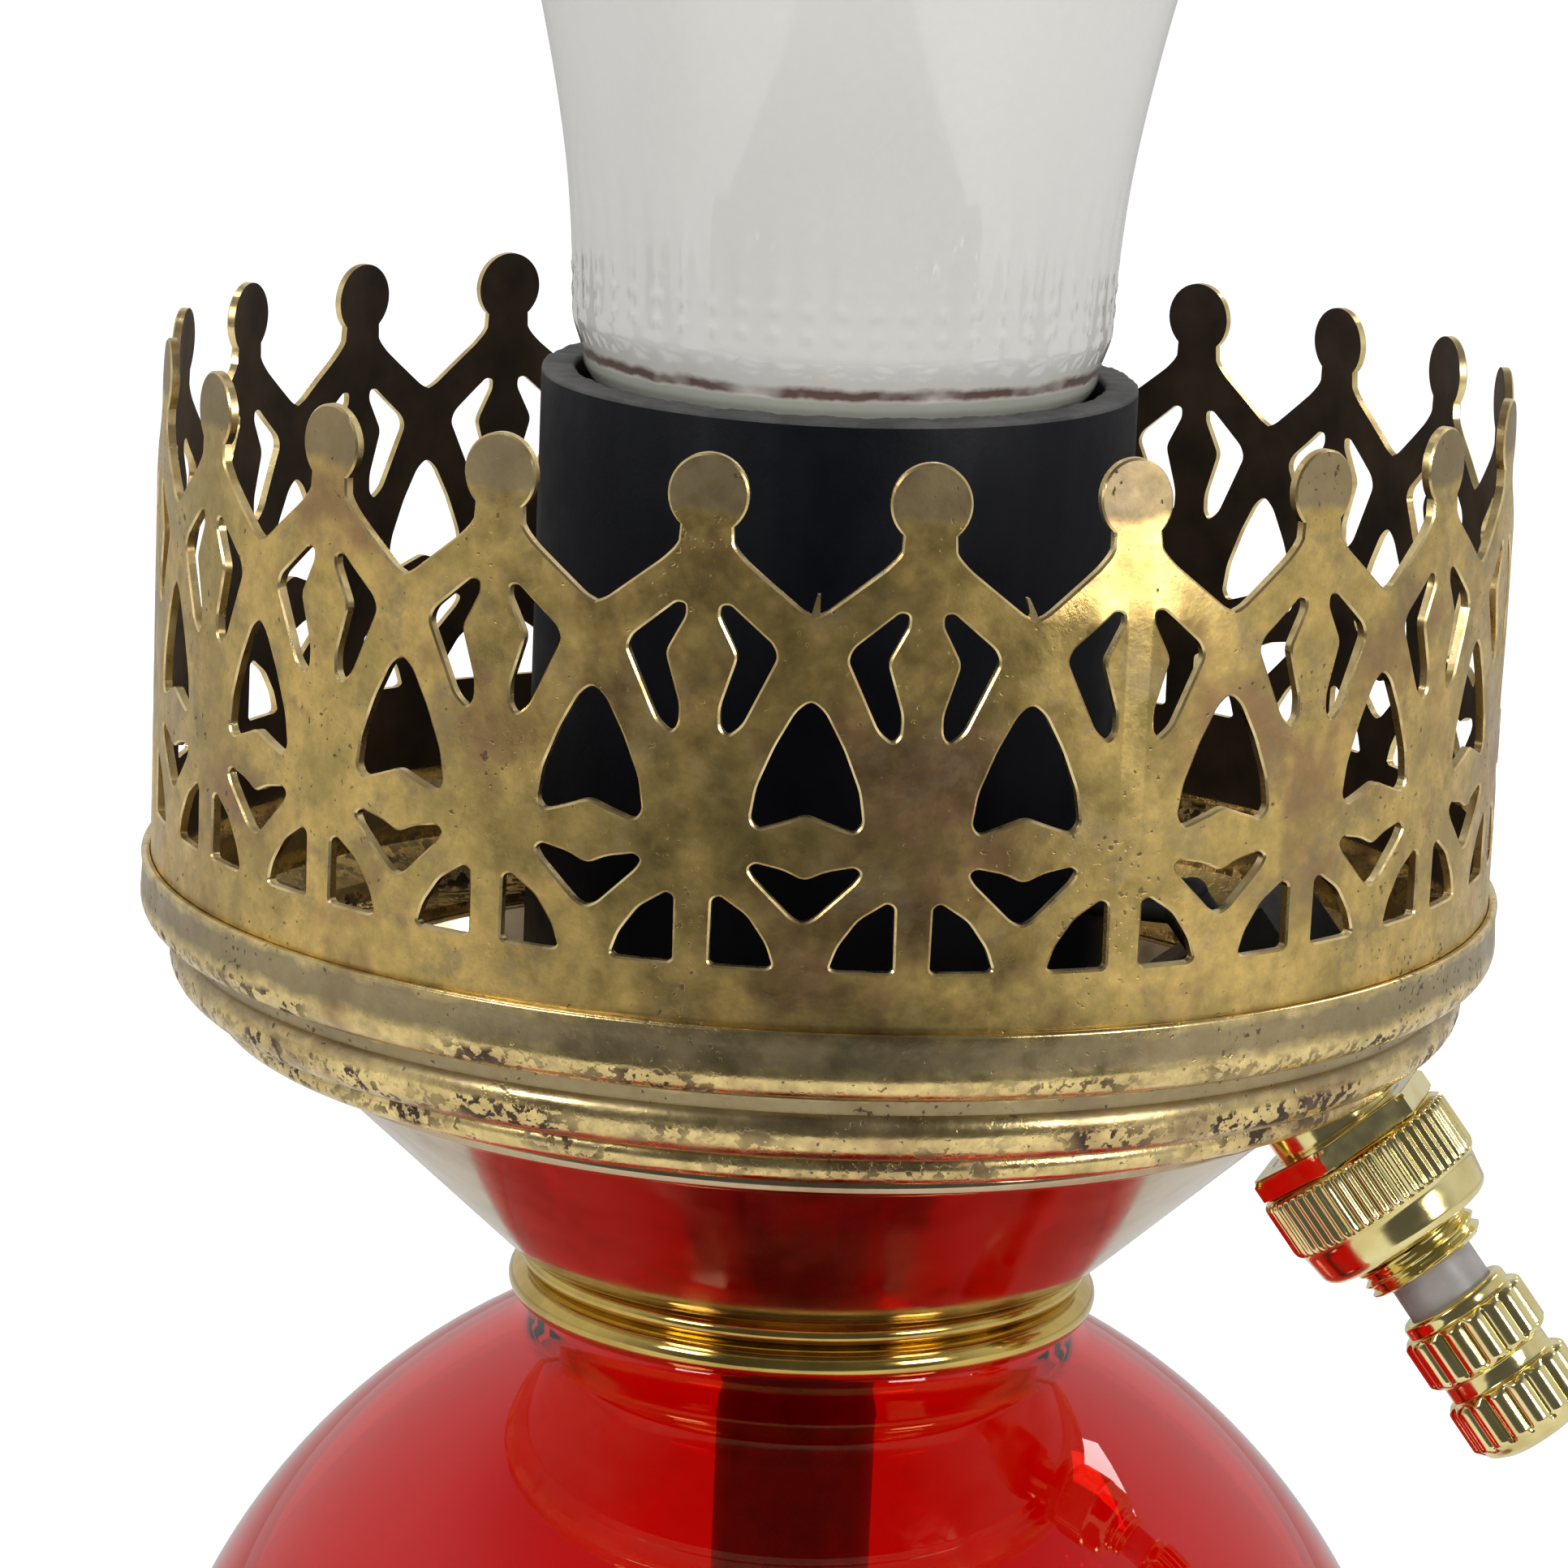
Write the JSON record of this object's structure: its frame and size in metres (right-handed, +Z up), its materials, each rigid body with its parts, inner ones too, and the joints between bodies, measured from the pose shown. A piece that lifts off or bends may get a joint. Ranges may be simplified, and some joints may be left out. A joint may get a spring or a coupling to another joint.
{
  "type": "oil-style table lamp",
  "caption": "Table lamp shaped like an oil lamp: round foot, red glass ball font, pierced brass shade gallery, frosted chimney over a screw-in bulb, and a side switch knob.",
  "frame": {"origin": "centre of the felt under the foot, on the lamp's axis, at table height", "axes": "+Z up along the chimney; -Y is the front; the switch is on the +X side, turned 15 degrees towards the front; the cord leaves at +Y"},
  "size_m": [0.126, 0.1276, 0.4155],
  "materials": {
    "antique_brass": "old olive-gold brass with brown speckles, worn bright on cut edges and bead crests",
    "polished_brass": "polished brass that mirrors the red font",
    "switch_brass": "new bright brass plating",
    "red_glass": "clear ruby-red glass, smooth and glossy",
    "frosted_glass": "satin off-white glass with a clear polished neck rim",
    "bulb_white": "white-coated bulb glass",
    "clear_glass": "clear glass stem with fine wires",
    "black_sleeve": "matt blue-black, rim rough and lighter",
    "black_plastic": "black moulded plastic",
    "maroon_tube": "dark maroon enamel",
    "nylon": "translucent grey-lilac nylon",
    "plated_steel": "zinc-plated steel",
    "cast_weight": "rough grey casting",
    "cork_rubber": "brown cork-rubber",
    "lead_rubber": "black rubber insulation",
    "green_felt": "dark green felt"
  },
  "bodies": {
    "lamp": {"foot_shell": "antique_brass", "felt_pad": "green_felt", "foot_weight": "cast_weight", "base_washer": "plated_steel", "base_nut": "plated_steel", "cord_bushing": "black_plastic", "font_cup": "antique_brass", "lower_gasket": "cork_rubber", "font_glass": "red_glass", "pipe_sleeve": "maroon_tube", "center_pipe": "polished_brass", "upper_gasket": "cork_rubber", "neck_collar": "polished_brass", "burner_bowl": "polished_brass", "gallery_pan": "antique_brass", "gallery_crown": "antique_brass", "sleeve_seat": "antique_brass", "top_locknut": "polished_brass", "socket_sleeve": "black_sleeve", "socket_cap": "polished_brass", "socket_body": "black_plastic", "socket_shell": "polished_brass", "socket_contact": "polished_brass", "terminal_screws": "plated_steel", "switch_body": "black_plastic", "switch_leads": "lead_rubber", "switch_bushing": "switch_brass", "switch_hex_nut": "switch_brass", "switch_ring_nut": "switch_brass"},
    "switch_rotor": {"switch_shaft": "nylon", "switch_knob": "switch_brass"},
    "bulb": {"bulb_base": "plated_steel", "bulb_insulator": "black_plastic", "bulb_contact": "plated_steel", "bulb_stem": "clear_glass", "bulb_glass": "bulb_white"},
    "chimney": {"chimney_glass": "frosted_glass"}
  },
  "joints": [
    {"name": "knob_turn", "type": "hinge", "parent": "lamp", "child": "switch_rotor", "pos_m": [0.03921, -0.01051, 0.17913], "axis": [0.5951, -0.1595, -0.7876], "continuous": true},
    {"name": "chimney_lift", "type": "slide", "parent": "lamp", "child": "chimney", "axis": [0, 0, 1], "range_m": [0, 0.25]},
    {"name": "bulb_remove", "type": "slide", "parent": "lamp", "child": "bulb", "axis": [0, 0, 1], "range_m": [0, 0.14]}
  ]
}
